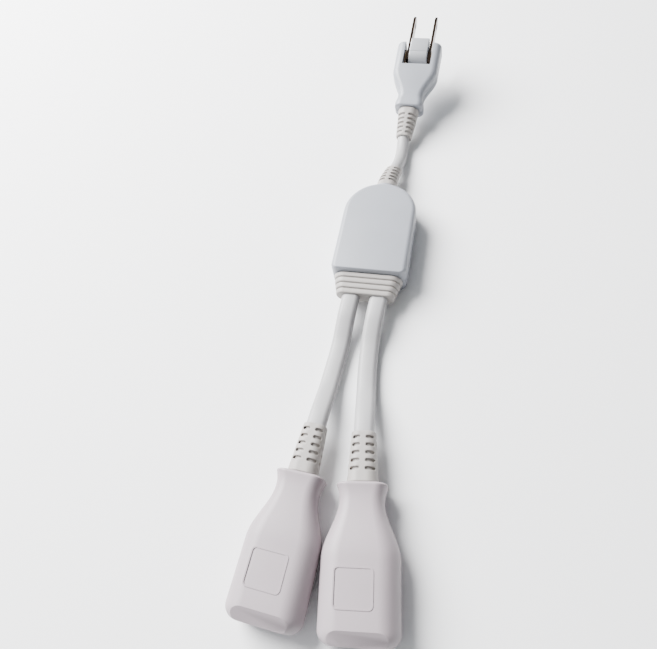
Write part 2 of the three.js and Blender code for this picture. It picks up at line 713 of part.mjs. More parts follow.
function makePlugHousing() {
  const heel = { w: plugHeelWidth / 2, h: plugHeelHeight / 2, r: plugCorner };
  const stations = [
    { ...heel, y: heelY, w: heel.w - 0.6, h: heel.h - 0.6 }, { ...heel, y: heelY + 0.6 },
    { ...heel, y: heelY + plugHeelLength },
  ];
  const bodySteps = 8;
  const neckY = -plugForkSetback - plugNeckLength;
  const shoulderY = -plugForkSetback - plugFullLength;
  for (let step = 0; step <= bodySteps; step += 1) {
    stations.push(plugSection(THREE.MathUtils.lerp(neckY, shoulderY, step / bodySteps)));
  }
  const tipSteps = 3;
  for (let step = 0; step <= tipSteps; step += 1) {
    const angle = step / tipSteps * Math.PI / 2;
    const section = plugSection(-plugForkSetback - plugRounding * (1 - Math.sin(angle)));
    section.w -= plugRounding * (1 - Math.cos(angle));
    section.h -= plugRounding * (1 - Math.cos(angle));
    stations.push(section);
  }
  const cavitySteps = 5;
  const cavity = [];
  for (let step = 0; step <= cavitySteps; step += 1) {
    const section = plugSection(THREE.MathUtils.lerp(heelY + endWall, recessY - wall, step / cavitySteps));
    section.w -= wall - 0.8;
    section.h -= wall - 0.8;
    cavity.push(section);
  }
  const recess = forkRecessWidth / 2;
  const cutters = [
    loft(cavity),
    anchorRoom(bootSpecs.plug, heelY + endWall, heelY + endWall + anchorLength + 2 * gap),
    block([-recess, recessY, -plugHeight], [recess, 1, plugHeight]),
    bootOpening(bootSpecs.plug, heelY - 1, heelY + endWall + 1),
    bar(trunnionRadius + runningGap, -trunnionEnd - gap, trunnionEnd + gap, pivotY),
  ];
  for (const side of [1, -1]) {
    const x = side * brushX;
    const reach = brushThickness / 2 + gap;
    const rise = brushHalfHeight + gap;
    cutters.push(block([x - reach, recessY - wall - 1, -rise], [x + reach, recessY + 1, rise]));
  }
  return cut(loft(stations), ...cutters);
}

function makeRotor() {
  const shape = new THREE.Shape();
  shape.moveTo(pivotY, -rotorRadius);
  shape.lineTo(-rotorCorner, -rotorRadius);
  shape.absarc(-rotorCorner, -rotorRadius + rotorCorner, rotorCorner, -Math.PI / 2, 0);
  shape.lineTo(0, rotorRadius - rotorCorner);
  shape.absarc(-rotorCorner, rotorRadius - rotorCorner, rotorCorner, 0, Math.PI / 2);
  shape.lineTo(pivotY, rotorRadius);
  shape.absarc(pivotY, 0, rotorRadius, Math.PI / 2, Math.PI * 1.5);
  const width = bladeSpacing - bladeThickness - 2 * gap;
  const keyEnd = (bladeSpacing + bladeThickness) / 2;
  return join(
    plate(shape, width, 0, 0.4),
    bar(trunnionRadius, -trunnionEnd, trunnionEnd, pivotY),
    bar(keyRadius, -keyEnd, keyEnd, pivotY + keyReach),
  );
}

function makeBlade(x) {
  const high = bladeWidth / 2;
  const chamfer = bladeTipChamfer;
  const spread = Math.asin(high / bladeRootRadius);
  const shape = new THREE.Shape();
  shape.moveTo(bladeLength - 2 * chamfer, -high);
  shape.lineTo(bladeLength, -high + chamfer);
  shape.lineTo(bladeLength, high - chamfer);
  shape.lineTo(bladeLength - 2 * chamfer, high);
  shape.absarc(pivotY, 0, bladeRootRadius, spread, 2 * Math.PI - spread);
  shape.holes.push(circleHole(bladeHoleReach, 0, bladeHoleRadius));
  shape.holes.push(circleHole(pivotY, 0, trunnionRadius + gap));
  shape.holes.push(circleHole(pivotY + keyReach, 0, keyRadius + gap));
  return plate(shape, bladeThickness, x);
}

function makeBrush(x) {
  const spread = Math.asin(brushHalfHeight / brushRootRadius);
  const shape = new THREE.Shape();
  shape.moveTo(pivotY - brushTail, brushHalfHeight);
  shape.lineTo(pivotY - brushTail, -brushHalfHeight);
  shape.absarc(pivotY, 0, brushRootRadius, Math.PI + spread, 3 * Math.PI - spread);
  shape.holes.push(circleHole(pivotY, 0, trunnionRadius + gap));
  return plate(shape, brushThickness, x);
}

function makePlug() {
  const group = new THREE.Group();
  group.position.set(plugPose.x, plugPose.y, plugPose.z);
  group.rotation.set(radians(plugPose.pitch), 0, radians(plugPose.turn), 'ZYX');
  addHalves(group, 'plug', makePlugHousing());
  const boot = part('plug_boot', makeBoot(bootSpecs.plug), 'boot');
  boot.position.y = heelY;
  boot.rotation.z = Math.PI;
  group.add(boot, part('plug_rotor', makeRotor(), 'rotor'));
  const sheathEnd = heelY + endWall + anchorLength + 2 * gap;
  const brushEnd = pivotY - brushTail;
  for (const [side, name, finish] of [[-1, 'left', 'blackCore'], [1, 'right', 'whiteCore']]) {
    const coreX = side * corePitch / 2;
    group.add(
      part(`blade_${name}`, makeBlade(side * bladeSpacing / 2), 'blade'),
      part(`plug_contact_${name}`, makeBrush(side * brushX), 'spring'),
      part(`plug_wire_${name}`, core([
        [coreX, sheathEnd + gap, 0], [coreX * 1.2, sheathEnd + 2, 0],
        [side * brushX * 0.75, brushEnd - 3.4, 0], [side * brushX, brushEnd - gap, 0],
      ]), finish),
    );
  }
  return group;
}

const object = new THREE.Group();
object.add(
  makeSplitter(),
  makeSocket('left', leftSocketPose),
  makeSocket('right', rightSocketPose),
  makePlug(),
  part('inlet_cord', sweep(roundSection(inletCordDiameter, 12), inletRoute, inletSteps), 'cord'),
  part('outlet_cord_left', sweep(flatSection(outletCordWidth, outletCordThickness), leftRoute, outletSteps), 'cord'),
  part('outlet_cord_right', sweep(flatSection(outletCordWidth, outletCordThickness), rightRoute, outletSteps), 'cord'),
);

export default object;
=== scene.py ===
import json
import math
import bmesh
import bpy
from mathutils import Matrix, Quaternion, Vector


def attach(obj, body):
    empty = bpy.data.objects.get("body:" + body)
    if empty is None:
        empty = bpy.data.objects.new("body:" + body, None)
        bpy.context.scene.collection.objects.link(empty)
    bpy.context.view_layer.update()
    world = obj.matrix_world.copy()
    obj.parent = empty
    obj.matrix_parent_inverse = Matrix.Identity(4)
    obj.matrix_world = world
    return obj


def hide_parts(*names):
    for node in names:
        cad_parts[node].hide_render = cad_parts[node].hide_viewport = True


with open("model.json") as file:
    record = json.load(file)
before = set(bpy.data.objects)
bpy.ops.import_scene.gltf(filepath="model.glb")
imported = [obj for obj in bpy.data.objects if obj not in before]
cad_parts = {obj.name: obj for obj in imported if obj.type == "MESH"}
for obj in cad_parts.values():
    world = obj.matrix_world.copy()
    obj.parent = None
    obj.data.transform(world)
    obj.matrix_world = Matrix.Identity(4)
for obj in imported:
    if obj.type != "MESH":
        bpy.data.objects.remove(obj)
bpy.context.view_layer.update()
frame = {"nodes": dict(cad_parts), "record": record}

# Power cord splitter: plug with swinging blades, splitter body, two outlet cords with sockets.
# Sizes below are in millimetres. Meshes are built in metres.
mm = 0.001
rootBody = "splitter"
print("stage: frame loaded,", len(frame["nodes"]), "nodes")

# Fits that the housings and boots share
gap = 0.3  # between neighbouring pieces
runningGap = 0.12  # round a pin that turns, or a cord in its boot
halfSeam = 0.15  # half the slit between a housing's two halves
thin = 0.01  # length of the step from one width to the next
past = 1  # how far a cutter runs past what it cuts
farCut = 90  # half size of a block that cuts a whole housing

# How finely rounds and runs are stepped
cornerSteps = 9  # corners of a boot's section
housingCornerSteps = 12  # and of a housing's section
arcSteps = 8
edgeSteps = 5
runSteps = 12  # stations along a piece

# How the object lies, as in the frame
splitterPlace = dict(x=0, y=0, z=8, turn=0, pitch=0)
leftPlace = dict(x=-11.3, y=-128.1, z=8.7, turn=-3.2, pitch=0)
rightPlace = dict(x=14.2, y=-128, z=8.7, turn=8.1, pitch=0)
plugPlace = dict(x=7.3, y=130.1, z=24.9, turn=-3.3, pitch=18.5)


def placeMatrix(place):
    turn = Matrix.Rotation(math.radians(place["turn"]), 4, "Z")
    tilt = Matrix.Rotation(math.radians(place["pitch"]), 4, "X")
    return Matrix.Translation((place["x"], place["y"], place["z"])) @ turn @ tilt


def shifted(place, y, flip=False):
    # a place further along the piece's own Y, turned round if it faces back
    spot = (placeMatrix(place) @ Matrix.Translation((0, y, 0))).translation
    moved = dict(place, x=spot.x, y=spot.y, z=spot.z)
    if flip:
        moved["turn"] = place["turn"] + 180
        moved["pitch"] = -place["pitch"]
    return moved


# Camera at the photograph's angle
cameraView = dict(
    place=(42.38, -178.58, 237.97),
    lookAt=(-14.76, -55.73, 8.0),
    roll=-15.65,
    focal=558.75,  # in pixels of a picture 657 wide
    pictureWidth=657,
    sensor=36.0,
    clipStart=10,
)


def makeCamera(spec):
    data = bpy.data.cameras.new("viewCamera")
    data.sensor_width = spec["sensor"]
    data.lens = spec["focal"] / spec["pictureWidth"] * spec["sensor"]
    data.clip_start = spec["clipStart"] * mm
    camera = bpy.data.objects.new("viewCamera", data)
    bpy.context.scene.collection.objects.link(camera)
    place = Vector(spec["place"]) * mm
    aim = Vector(spec["lookAt"]) * mm - place
    turned = aim.to_track_quat("-Z", "Y") @ Quaternion((0, 0, 1), math.radians(spec["roll"]))
    camera.matrix_world = Matrix.Translation(place) @ turned.to_matrix().to_4x4()
    bpy.context.scene.camera = camera


makeCamera(cameraView)
print("stage: camera set")


# Numbers along a run
def mix(a, b, share):
    return a + (b - a) * share


def smoothStep(value, low, high):
    share = min(1.0, max(0.0, (value - low) / (high - low)))
    return share * share * (3 - 2 * share)


def shares(steps):
    # from 0 to 1
    return [step / steps for step in range(steps + 1)]


def arc(steps, start=0, quarters=1):
    # the angles of an arc; its start and its length are counted in quarters of a circle
    return [(start + share * quarters) * math.pi / 2 for share in shares(steps)]


# Mesh tools
def turnOutward(mesh):
    # a closed mesh whose faces look inward has a negative volume
    shape = bmesh.new()
    shape.from_mesh(mesh)
    if shape.calc_volume(signed=True) < 0:
        bmesh.ops.reverse_faces(shape, faces=shape.faces)
    shape.to_mesh(mesh)
    shape.free()
    mesh.update()


def newPiece(name, vertices, faces, place=None):
    mesh = bpy.data.meshes.new(name)
    matrix = placeMatrix(place) if place else Matrix.Identity(4)
    mesh.from_pydata([matrix @ Vector(v) * mm for v in vertices], [], faces)
    mesh.validate()
    turnOutward(mesh)
    piece = bpy.data.objects.new(name, mesh)
    bpy.context.scene.collection.objects.link(piece)
    return piece


def ringAt(y, w, h, r, x=0.0, z=0.0, corner=cornerSteps):
    # a rounded rectangle of half sizes w and h, across X and Z
    r = max(2 * thin, min(r, w - 2 * thin, h - 2 * thin))
    points = []
    for quarter, (sideX, sideZ) in enumerate(((1, 1), (-1, 1), (-1, -1), (1, -1))):
        for angle in arc(corner, quarter):
            points.append((
                x + sideX * (w - r) + r * math.cos(angle),
                y,
                z + sideZ * (h - r) + r * math.sin(angle),
            ))
    return points


def skinRings(name, rings, place=None):
    # faces between rings that follow one another, with a flat face at each end
    count = len(rings[0])
    vertices = [point for ring in rings for point in ring]
    faces = []
    for ring in range(len(rings) - 1):
        for point in range(count):
            a = ring * count + point
            b = ring * count + (point + 1) % count
            faces.append((a, a + count, b + count, b))
    last = (len(rings) - 1) * count
    faces.append(tuple(range(count)))
    faces.append(tuple(last + point for point in reversed(range(count))))
    return newPiece(name, vertices, faces, place)


def loft(name, stations, place, corner=cornerSteps):
    return skinRings(name, [ringAt(corner=corner, **station) for station in stations], place)


def block(name, low, high, place):
    x0, y0, z0 = low
    x1, y1, z1 = high
    rings = [[(x0, y, z0), (x1, y, z0), (x1, y, z1), (x0, y, z1)] for y in (y0, y1)]
    return skinRings(name, rings, place)


def bar(name, radius, y, reach, sides, place):
    # a round bar across the piece, as far to the left as to the right
    circle = []
    for step in range(sides):
        angle = 2 * math.pi * step / sides
        circle.append((y + radius * math.cos(angle), radius * math.sin(angle)))
    return skinRings(name, [[(x, cy, cz) for cy, cz in circle] for x in (-reach, reach)], place)


def settle(piece):
    # applies the piece's modifiers to its mesh
    bpy.context.view_layer.update()
    graph = bpy.context.evaluated_depsgraph_get()
    mesh = bpy.data.meshes.new_from_object(piece.evaluated_get(graph))
    piece.modifiers.clear()
    piece.data = mesh


def carve(piece, cutters, operation="DIFFERENCE"):
    for cutter in cutters:
        tool = piece.modifiers.new("carve", "BOOLEAN")
        tool.operation = operation
        tool.solver = "MANIFOLD"
        tool.object = cutter
    settle(piece)
    for cutter in cutters:
        bpy.data.objects.remove(cutter, do_unlink=True)


def keepHalf(piece, side, place):
    # keeps what lies above (1) or below (-1) the slit between a housing's halves
    low, high = (halfSeam, farCut) if side > 0 else (-farCut, -halfSeam)
    carve(piece, [block("half", (-farCut, -farCut, low), (farCut, farCut, high), place)], "INTERSECT")


def neckCutter(name, neck, spare, start, end, place):
    # the hole for a boot's neck or flange
    size = dict(w=neck[0] + spare, h=neck[1] + spare, r=neck[2])
    return loft(name, [dict(y=start, **size), dict(y=end, **size)], place)


def copyPiece(piece, name):
    twin = bpy.data.objects.new(name, piece.data.copy())
    bpy.context.scene.collection.objects.link(twin)
    return twin


def shade(piece, angle):
    piece.data.shade_smooth()
    piece.data.set_sharp_from_angle(angle=math.radians(angle))


def softRemesh(piece, spec):
    # moulded look: an even mesh whose cut edges are rounded over
    remesh = piece.modifiers.new("remesh", "REMESH")
    remesh.mode = "VOXEL"
    remesh.voxel_size = spec["voxel"] * mm
    smooth = piece.modifiers.new("smooth", "SMOOTH")
    smooth.factor = spec["smoothing"]
    smooth.iterations = spec["smoothings"]
    settle(piece)
    piece.data.shade_smooth()


def roundEdges(piece, width, segments, angle):
    bevel = piece.modifiers.new("roundEdges", "BEVEL")
    bevel.width = width * mm
    bevel.segments = segments
    bevel.limit_method = "ANGLE"
    bevel.angle_limit = math.radians(angle)
    bevel.harden_normals = False


# Materials
plasticLook = dict(
    cloudScale=38, cloudDetail=3, rampPlaces=(0.32, 0.62), grainDetail=4, glossSpread=0.07,
    reliefDepth=0.0002, softDepth=0.002, softTint=(1.0, 0.85, 0.7), coatRoughness=0.25,
)
metalLook = dict(
    stretch=(900, 60, 900), scratchScale=1.4, scratchDetail=5, rubbedScale=160, rubbedDetail=2,
    rampPlaces=(0.4, 0.68), glossDrop=0.08, glossRise=0.12, bump=0.12, reliefDepth=0.0001,
)


def nodeMaterial(name):
    material = bpy.data.materials.new(name)
    material.use_nodes = True
    tree = material.node_tree
    shader = tree.nodes["Principled BSDF"]
    return material, tree, shader


def noise(nodes, scale, detail):
    texture = nodes.new("ShaderNodeTexNoise")
    texture.inputs["Scale"].default_value = scale
    texture.inputs["Detail"].default_value = detail
    return texture


def toneRamp(nodes, places, tones):
    ramp = nodes.new("ShaderNodeValToRGB")
    for element, place, tone in zip(ramp.color_ramp.elements, places, tones):
        element.position = place
        element.color = (*tone, 1)
    return ramp


def glossRange(nodes, low, high):
    gloss = nodes.new("ShaderNodeMapRange")
    gloss.inputs["To Min"].default_value = low
    gloss.inputs["To Max"].default_value = high
    return gloss


def surfaceRelief(nodes, strength, depth):
    relief = nodes.new("ShaderNodeBump")
    relief.inputs["Strength"].default_value = strength
    relief.inputs["Distance"].default_value = depth
    return relief


def mouldedPlastic(name, tone, shadeTone, roughness, grain, bump, softness=0.0, coat=0.0):
    # mottled tone, broken gloss and a fine moulded grain
    look = plasticLook
    material, tree, shader = nodeMaterial(name)
    nodes, links = tree.nodes, tree.links
    where = nodes.new("ShaderNodeTexCoord")
    cloud = noise(nodes, look["cloudScale"], look["cloudDetail"])
    tones = toneRamp(nodes, look["rampPlaces"], (shadeTone, tone))
    fine = noise(nodes, grain, look["grainDetail"])
    gloss = glossRange(nodes, roughness - look["glossSpread"], roughness + look["glossSpread"])
    relief = surfaceRelief(nodes, bump, look["reliefDepth"])
    links.new(where.outputs["Object"], cloud.inputs["Vector"])
    links.new(where.outputs["Object"], fine.inputs["Vector"])
    links.new(cloud.outputs["Fac"], tones.inputs["Fac"])
    links.new(tones.outputs["Color"], shader.inputs["Base Color"])
    links.new(cloud.outputs["Fac"], gloss.inputs["Value"])
    links.new(gloss.outputs["Result"], shader.inputs["Roughness"])
    links.new(fine.outputs["Fac"], relief.inputs["Height"])
    links.new(relief.outputs["Normal"], shader.inputs["Normal"])
    shader.inputs["Subsurface Weight"].default_value = softness
    shader.inputs["Subsurface Scale"].default_value = look["softDepth"]
    shader.inputs["Subsurface Radius"].default_value = look["softTint"]
    shader.inputs["Coat Weight"].default_value = coat
    shader.inputs["Coat Roughness"].default_value = look["coatRoughness"]
    return material


def rolledMetal(name, tone, wornTone, roughness):
    # drawn strip: long fine scratches and rubbed patches
    look = metalLook
    material, tree, shader = nodeMaterial(name)
    nodes, links = tree.nodes, tree.links
    where = nodes.new("ShaderNodeTexCoord")
    stretch = nodes.new("ShaderNodeMapping")
    stretch.inputs["Scale"].default_value = look["stretch"]
    scratch = noise(nodes, look["scratchScale"], look["scratchDetail"])
    rubbed = noise(nodes, look["rubbedScale"], look["rubbedDetail"])
    tones = toneRamp(nodes, look["rampPlaces"], (tone, wornTone))
    gloss = glossRange(nodes, roughness - look["glossDrop"], roughness + look["glossRise"])
    relief = surfaceRelief(nodes, look["bump"], look["reliefDepth"])
    links.new(where.outputs["Object"], stretch.inputs["Vector"])
    links.new(where.outputs["Object"], rubbed.inputs["Vector"])
    links.new(stretch.outputs["Vector"], scratch.inputs["Vector"])
    links.new(rubbed.outputs["Fac"], tones.inputs["Fac"])
    links.new(tones.outputs["Color"], shader.inputs["Base Color"])
    links.new(scratch.outputs["Fac"], gloss.inputs["Value"])
    links.new(gloss.outputs["Result"], shader.inputs["Roughness"])
    links.new(scratch.outputs["Fac"], relief.inputs["Height"])
    links.new(relief.outputs["Normal"], shader.inputs["Normal"])
    shader.inputs["Metallic"].default_value = 1.0
    return material


finishes = dict(
    shell=mouldedPlastic(
        "shellPlastic", tone=(0.262, 0.273, 0.302), shadeTone=(0.248, 0.259, 0.286),
        roughness=0.42, grain=2600, bump=0.10, softness=0.04,
    ),
    socketShell=mouldedPlastic(
        "socketPlastic", tone=(0.335, 0.288, 0.308), shadeTone=(0.318, 0.274, 0.292),
        roughness=0.48, grain=2400, bump=0.14, softness=0.04,
    ),
    boot=mouldedPlastic(
        "bootVinyl", tone=(0.325, 0.304, 0.288), shadeTone=(0.306, 0.287, 0.272),
        roughness=0.54, grain=1800, bump=0.16, softness=0.06,
    ),
    cord=mouldedPlastic(
        "sheathVinyl", tone=(0.335, 0.330, 0.334), shadeTone=(0.316, 0.311, 0.314),
        roughness=0.44, grain=1500, bump=0.10, softness=0.06,
    ),
    rotor=mouldedPlastic(
        "rotorPlastic", tone=(0.330, 0.335, 0.352), shadeTone=(0.315, 0.320, 0.336),
        roughness=0.2, grain=2600, bump=0.05, softness=0.04, coat=0.6,
    ),
    # painted reflection: the blades' near-black base colour stands in for the dark surroundings they
    # mirror, not the plating's own colour; the rubbed patches between the two tones are wear
    blade=rolledMetal(
        "brassPaintedDarkReflection", tone=(0.040, 0.027, 0.021), wornTone=(0.10, 0.070, 0.052), roughness=0.2,
    ),
    contact=rolledMetal(
        "springBronze", tone=(0.30, 0.19, 0.10), wornTone=(0.38, 0.27, 0.15), roughness=0.34,
    ),
    splice=mouldedPlastic(
        "spliceSleeve", tone=(0.3, 0.27, 0.22), shadeTone=(0.27, 0.24, 0.2),
        roughness=0.4, grain=1200, bump=0.1,
    ),
    black_core=mouldedPlastic(
        "blackCore", tone=(0.02, 0.02, 0.022), shadeTone=(0.015, 0.015, 0.017),
        roughness=0.45, grain=1500, bump=0.1,
    ),
    white_core=mouldedPlastic(
        "whiteCore", tone=(0.42, 0.41, 0.39), shadeTone=(0.40, 0.39, 0.37),
        roughness=0.45, grain=1500, bump=0.1,
    ),
)


def finish(piece, name):
    piece.data.materials.clear()
    piece.data.materials.append(finishes[name])


print("stage: materials ready")


# Cords: smooth runs through listed points, the same as the frame's
inletRoute = [
    (0, 21.5, 8), (0, 26, 8), (0, 31, 8), (0.3, 36, 7.8), (1.1, 41, 7.28), (2.2, 45.8, 6.56),
    (3.15, 50, 5.65), (3.8, 54, 4.88), (4.1, 58, 4.25), (4.15, 62.3, 3.87), (4.1, 66, 4.05),
    (4.03, 69.3, 4.65), (3.97, 72.35, 5.54), (4.3, 78.03, 7.45), (4.57, 82.77, 9.03),
    (4.9, 88.45, 10.94), (5.17, 93.19, 12.52),
]
leftRoute = [
    (-6.8, -22, 8), (-6.8, -30, 8), (-6.8, -38, 8), (-6.9, -42, 8), (-7.2, -48.5, 7.38), (-7.5, -55, 5.5),
    (-7.8, -61.8, 3.63), (-8.2, -68.5, 3), (-8.5, -73, 3), (-8.85, -78, 3), (-9.2, -85.25, 3.71),
    (-9.45, -92.5, 5.85), (-9.71, -99.75, 7.99), (-9.98, -104.5, 8.63), (-10.12, -107, 8.7),
    (-10.34, -111, 8.7), (-10.62, -116, 8.7), (-10.96, -122, 8.7), (-11.52, -132, 8.7),
]
rightRoute = [
    (6.8, -22, 8), (6.8, -30, 8), (6.8, -38, 8), (6.7, -42, 8), (6.4, -48.5, 7.38), (6.1, -55, 5.5),
    (6.05, -61.8, 3.63), (6.3, -68.5, 3), (6.65, -73, 3), (7.15, -78, 3), (8.1, -85.25, 3.71),
    (9.15, -92.5, 5.85), (10.18, -99.75, 7.99), (10.86, -104.5, 8.63), (11.21, -107, 8.7),
    (11.78, -111, 8.7), (12.49, -116, 8.7), (13.35, -122, 8.7), (14.77, -132, 8.7),
]
cordSpec = dict(
    inletDiameter=6.8, outletWidth=8.8, outletThickness=5.4, stepsPerSpan=5, sides=32, shadeAngle=50,
)


def smoothRoute(points, stepsPerSpan):
    # centripetal curve through the points
    points = [Vector(point) for point in points]
    ends = [points[0] * 2 - points[1], *points, points[-1] * 2 - points[-2]]
    route = []
    for i in range(len(points) - 1):
        p0, p1, p2, p3 = ends[i:i + 4]
        t1 = (p1 - p0).length ** 0.5
        t2 = t1 + (p2 - p1).length ** 0.5
        t3 = t2 + (p3 - p2).length ** 0.5
        for step in range(stepsPerSpan):
            t = mix(t1, t2, step / stepsPerSpan)
            a1 = p0 * ((t1 - t) / t1) + p1 * (t / t1)
            a2 = p1 * ((t2 - t) / (t2 - t1)) + p2 * ((t - t1) / (t2 - t1))
            a3 = p2 * ((t3 - t) / (t3 - t2)) + p3 * ((t - t2) / (t3 - t2))
            b1 = a1 * ((t2 - t) / t2) + a2 * (t / t2)
            b2 = a2 * ((t3 - t) / (t3 - t1)) + a3 * ((t - t1) / (t3 - t1))
            route.append(b1 * ((t2 - t) / (t2 - t1)) + b2 * ((t - t1) / (t2 - t1)))
    route.append(points[-1])
    return route


def cordSection(width, thickness, sides):
    # two half circles with a flat run between them, or one circle if width and thickness agree
    radius = thickness / 2
    flat = (width - thickness) / 2
    section = []
    for step in range(sides):
        angle = 2 * math.pi * step / sides
        lean = round(math.cos(angle), 6)
        side = (lean > 0) - (lean < 0)
        section.append((radius * math.cos(angle) + flat * side, radius * math.sin(angle)))
    return section


def makeCord(name, node, points, width, thickness):
    route = smoothRoute(points, cordSpec["stepsPerSpan"])
    section = cordSection(width, thickness, cordSpec["sides"])
    rings = []
    for i, place in enumerate(route):
        ahead = (route[min(i + 1, len(route) - 1)] - route[max(i - 1, 0)]).normalized()
        side = ahead.cross(Vector((0, 0, 1))).normalized()
        up = side.cross(ahead).normalized()
        rings.append([tuple(place + side * across + up * rise) for across, rise in section])
    piece = skinRings(name, rings)
    shade(piece, cordSpec["shadeAngle"])
    finish(piece, "cord")
    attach(piece, rootBody)
    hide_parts(node)


inletSize = (cordSpec["inletDiameter"], cordSpec["inletDiameter"])
outletSize = (cordSpec["outletWidth"], cordSpec["outletThickness"])
makeCord("inletSheath", "inlet_cord", inletRoute, *inletSize)
makeCord("outletSheathLeft", "outlet_cord_left", leftRoute, *outletSize)
makeCord("outletSheathRight", "outlet_cord_right", rightRoute, *outletSize)


# Boots: slotted strain reliefs. A neck is its half width, half height and corner.
bootCommon = dict(
    endWall=2.2, anchorLength=2.4, anchorRim=1.2,
    rootInset=0.3, rootEdge=0.35, tipInset=0.35, tipEdge=0.4, endRound=0.8, sideRound=0.85,
    slots=5, slotsFrom=0.19, slotsTo=0.95, slotWidth=1.4, notch=0.75, notchRise=1.5,
    sleeveFrom=0.8, sleeveTo=0.6, sleeveRound=0.9, leastWall=0.35, voxel=0.22, smoothing=0.5,
    smoothings=2,
)
inletBootSpec = dict(
    length=16.2, root=(5.5, 5.3), tip=(4.35, 4.3), neck=(4.7, 4.6, 4.6), bore=(3.4, 3.4), bend=(2.3, -1.5),
    spine=1.5, rim=-1, slotDepth=1.0, slotRise=1.6, notches=False,
)
plugBootSpec = dict(
    length=17.6, root=(5.9, 5.4), tip=(4.45, 4.3), neck=(4.7, 4.6, 4.6), bore=(3.4, 3.4), bend=(0, 0),
    spine=1.5, rim=-1, slotDepth=1.0, slotRise=1.6, notches=False,
)
socketBootSpec = dict(
    length=21.9, root=(6.5, 5.6), tip=(5.2, 4.1), neck=(5.6, 4.2, 4.2), bore=(4.4, 2.7), bend=(0, 0),
    spine=2.2, rim=0.95, slotDepth=1.1, slotRise=1.2, notches=True,
)


def bootCentre(spec, y):
    share = max(0, y) / spec["length"]
    return dict(x=spec["bend"][0] * share ** 2, z=spec["bend"][1] * share ** 2)


def bootSize(spec, y):
    share = max(0, y) / spec["length"]
    return mix(spec["root"][0], spec["tip"][0], share), mix(spec["root"][1], spec["tip"][1], share)


def neckStations(neck, grip, common):
    # the flange inside the housing, and the groove round its end wall
    w, h, r = neck
    flange = dict(w=w + common["anchorRim"], h=h + common["anchorRim"], r=r)
    groove = dict(w=w, h=h, r=r)
    return [
        dict(y=-grip - common["anchorLength"], **flange), dict(y=-grip, **flange),
        dict(y=-grip + thin, **groove), dict(y=gap - thin, **groove),
    ]


def bootStations(spec, grip):
    common = bootCommon
    w, h = bootSize(spec, 0)
    inset = common["rootInset"]
    stations = neckStations(spec["neck"], grip, common)
    stations.append(dict(y=gap, w=w - inset, h=h - inset, r=h * common["endRound"]))
    for share in shares(runSteps):
        y = mix(gap + common["rootEdge"], spec["length"] - common["tipEdge"], share)
        w, h = bootSize(spec, y)
        stations.append(dict(y=y, w=w, h=h, r=h * common["sideRound"], **bootCentre(spec, y)))
    y = spec["length"]
    w, h = bootSize(spec, y)
    inset = common["tipInset"]
    stations.append(dict(y=y, w=w - inset, h=h - inset, r=h * common["endRound"], **bootCentre(spec, y)))
    return stations


def slotCutter(name, start, end, y, low, high, centre, place):
    # a slot with round ends, across the boot
    radius = bootCommon["slotWidth"] / 2
    outline = []
    for middle, quarter in ((end - radius, -1), (start + radius, 1)):
        for angle in arc(arcSteps, quarter, 2):
            outline.append((middle + radius * math.cos(angle), y + radius * math.sin(angle)))
    rings = [[(centre["x"] + px, py, centre["z"] + z) for px, py in outline] for z in (high, low)]
    return skinRings(name, rings, place)


def bootSlots(spec, place):
    common = bootCommon
    firstSlot = spec["length"] * common["slotsFrom"]
    pitch = (spec["length"] * common["slotsTo"] - firstSlot) / common["slots"]
    cutters = []
    for row in range(common["slots"]):
        y = firstSlot + pitch * (row + 0.5)
        w, h = bootSize(spec, y)
        centre = bootCentre(spec, y)
        for side in (-1, 1):
            start, end = sorted((side * spec["spine"] / 2, side * (w - spec["rim"])))
            for low, high in ((spec["slotRise"], 2 * h), (-2 * h, -spec["slotRise"])):
                cutters.append(slotCutter("slot", start, end, y, low, high, centre, place))
            if spec["notches"]:
                inner, outer = sorted((side * (w - common["notch"]), side * (w + 2 * past)))
                rise = common["notchRise"]
                cutters.append(slotCutter("notch", inner, outer, y, -rise, rise, centre, place))
    return cutters


def bootSleeve(spec, place):
    # lies under the slots and gives them their floor
    common = bootCommon
    stations = []
    for share in shares(runSteps):
        y = mix(common["sleeveFrom"], spec["length"] - common["sleeveTo"], share)
        w, h = bootSize(spec, y)
        depth = min(spec["slotDepth"], h - spec["bore"][1] - common["leastWall"])
        corner = (h - depth) * common["sleeveRound"]
        stations.append(dict(y=y, w=w - depth, h=h - depth, r=corner, **bootCentre(spec, y)))
    return loft("sleeve", stations, place)


def bootBore(spec, start, place):
    w, h = spec["bore"]
    size = dict(w=w + runningGap, h=h + runningGap, r=h + runningGap)
    stations = [dict(y=start, **size)]
    for share in shares(runSteps + 2):
        y = (spec["length"] + past) * share
        stations.append(dict(y=y, **size, **bootCentre(spec, y)))
    return loft("bore", stations, place)


def makeBoot(name, node, spec, place):
    common = bootCommon
    grip = common["endWall"] + gap
    piece = loft(name, bootStations(spec, grip), place)
    carve(piece, bootSlots(spec, place))
    carve(piece, [bootSleeve(spec, place)], "UNION")
    carve(piece, [bootBore(spec, -grip - common["anchorLength"] - past, place)])
    softRemesh(piece, common)
    finish(piece, "boot")
    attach(piece, rootBody)
    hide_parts(node)


